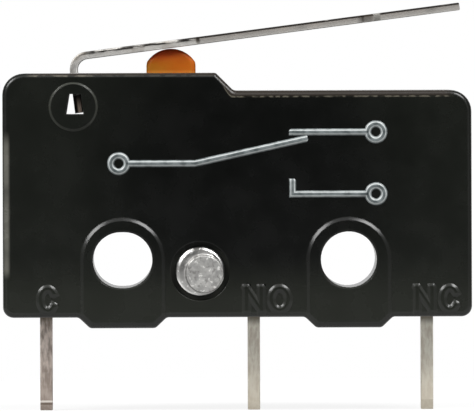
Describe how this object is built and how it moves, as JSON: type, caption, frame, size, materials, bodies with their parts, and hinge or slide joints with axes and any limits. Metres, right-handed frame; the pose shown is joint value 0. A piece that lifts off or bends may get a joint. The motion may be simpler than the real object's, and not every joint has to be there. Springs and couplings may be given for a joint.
{
  "type": "micro switch",
  "caption": "Subminiature snap-action switch with a hinge lever over a plunger, a riveted moulded housing with mounting holes, and straight board pins.",
  "frame": {"origin": "midway between the axes of the two mounting holes, at mid-thickness of the body", "axes": "+X along the body from the lever's hinge to its tip, +Y through the thickness from the cover to the case, +Z from the pins up to the lever"},
  "size_m": [0.0197, 0.0064, 0.0172],
  "materials": {
    "housing_plastic": "satin moulded, fine grain",
    "plunger_plastic": "smooth moulded",
    "lever_steel": "rolled strip, sheared edges",
    "terminal_plating": "dull plated",
    "contact_silver": "bright",
    "spring_copper": "rolled",
    "rivet_metal": "peened"
  },
  "bodies": {
    "housing": {"case": "housing_plastic", "cover": "housing_plastic", "rivet": "rivet_metal", "common_terminal": "terminal_plating", "normally_open_terminal": "terminal_plating", "normally_closed_terminal": "terminal_plating", "normally_open_contact": "contact_silver", "normally_closed_contact": "contact_silver", "snap_spring": "spring_copper"},
    "lever": {"lever": "lever_steel"},
    "plunger": {"plunger": "plunger_plastic"},
    "contact": {"moving_contact": "contact_silver"}
  },
  "joints": [
    {"name": "lever_hinge", "type": "hinge", "parent": "housing", "child": "lever", "pos_m": [-0.00664, 0, 0.0068], "axis": [0, 1, 0], "range_deg": [0, 11], "stiffness_Nm_per_rad": 0.04, "deforming": ["snap_spring"]},
    {"name": "plunger_slide", "type": "slide", "parent": "housing", "child": "plunger", "axis": [0, 0, -1], "range_m": [0, 0.00078]},
    {"name": "contact_travel", "type": "slide", "parent": "housing", "child": "contact", "axis": [0, 0, -1], "range_m": [0, 0.0005]}
  ],
  "couplings": [
    {"joint": "plunger_slide", "follows": "lever_hinge", "m_per_rad": 0.003978},
    {"joint": "contact_travel", "follows": "lever_hinge", "m_per_rad": 0.002604}
  ]
}
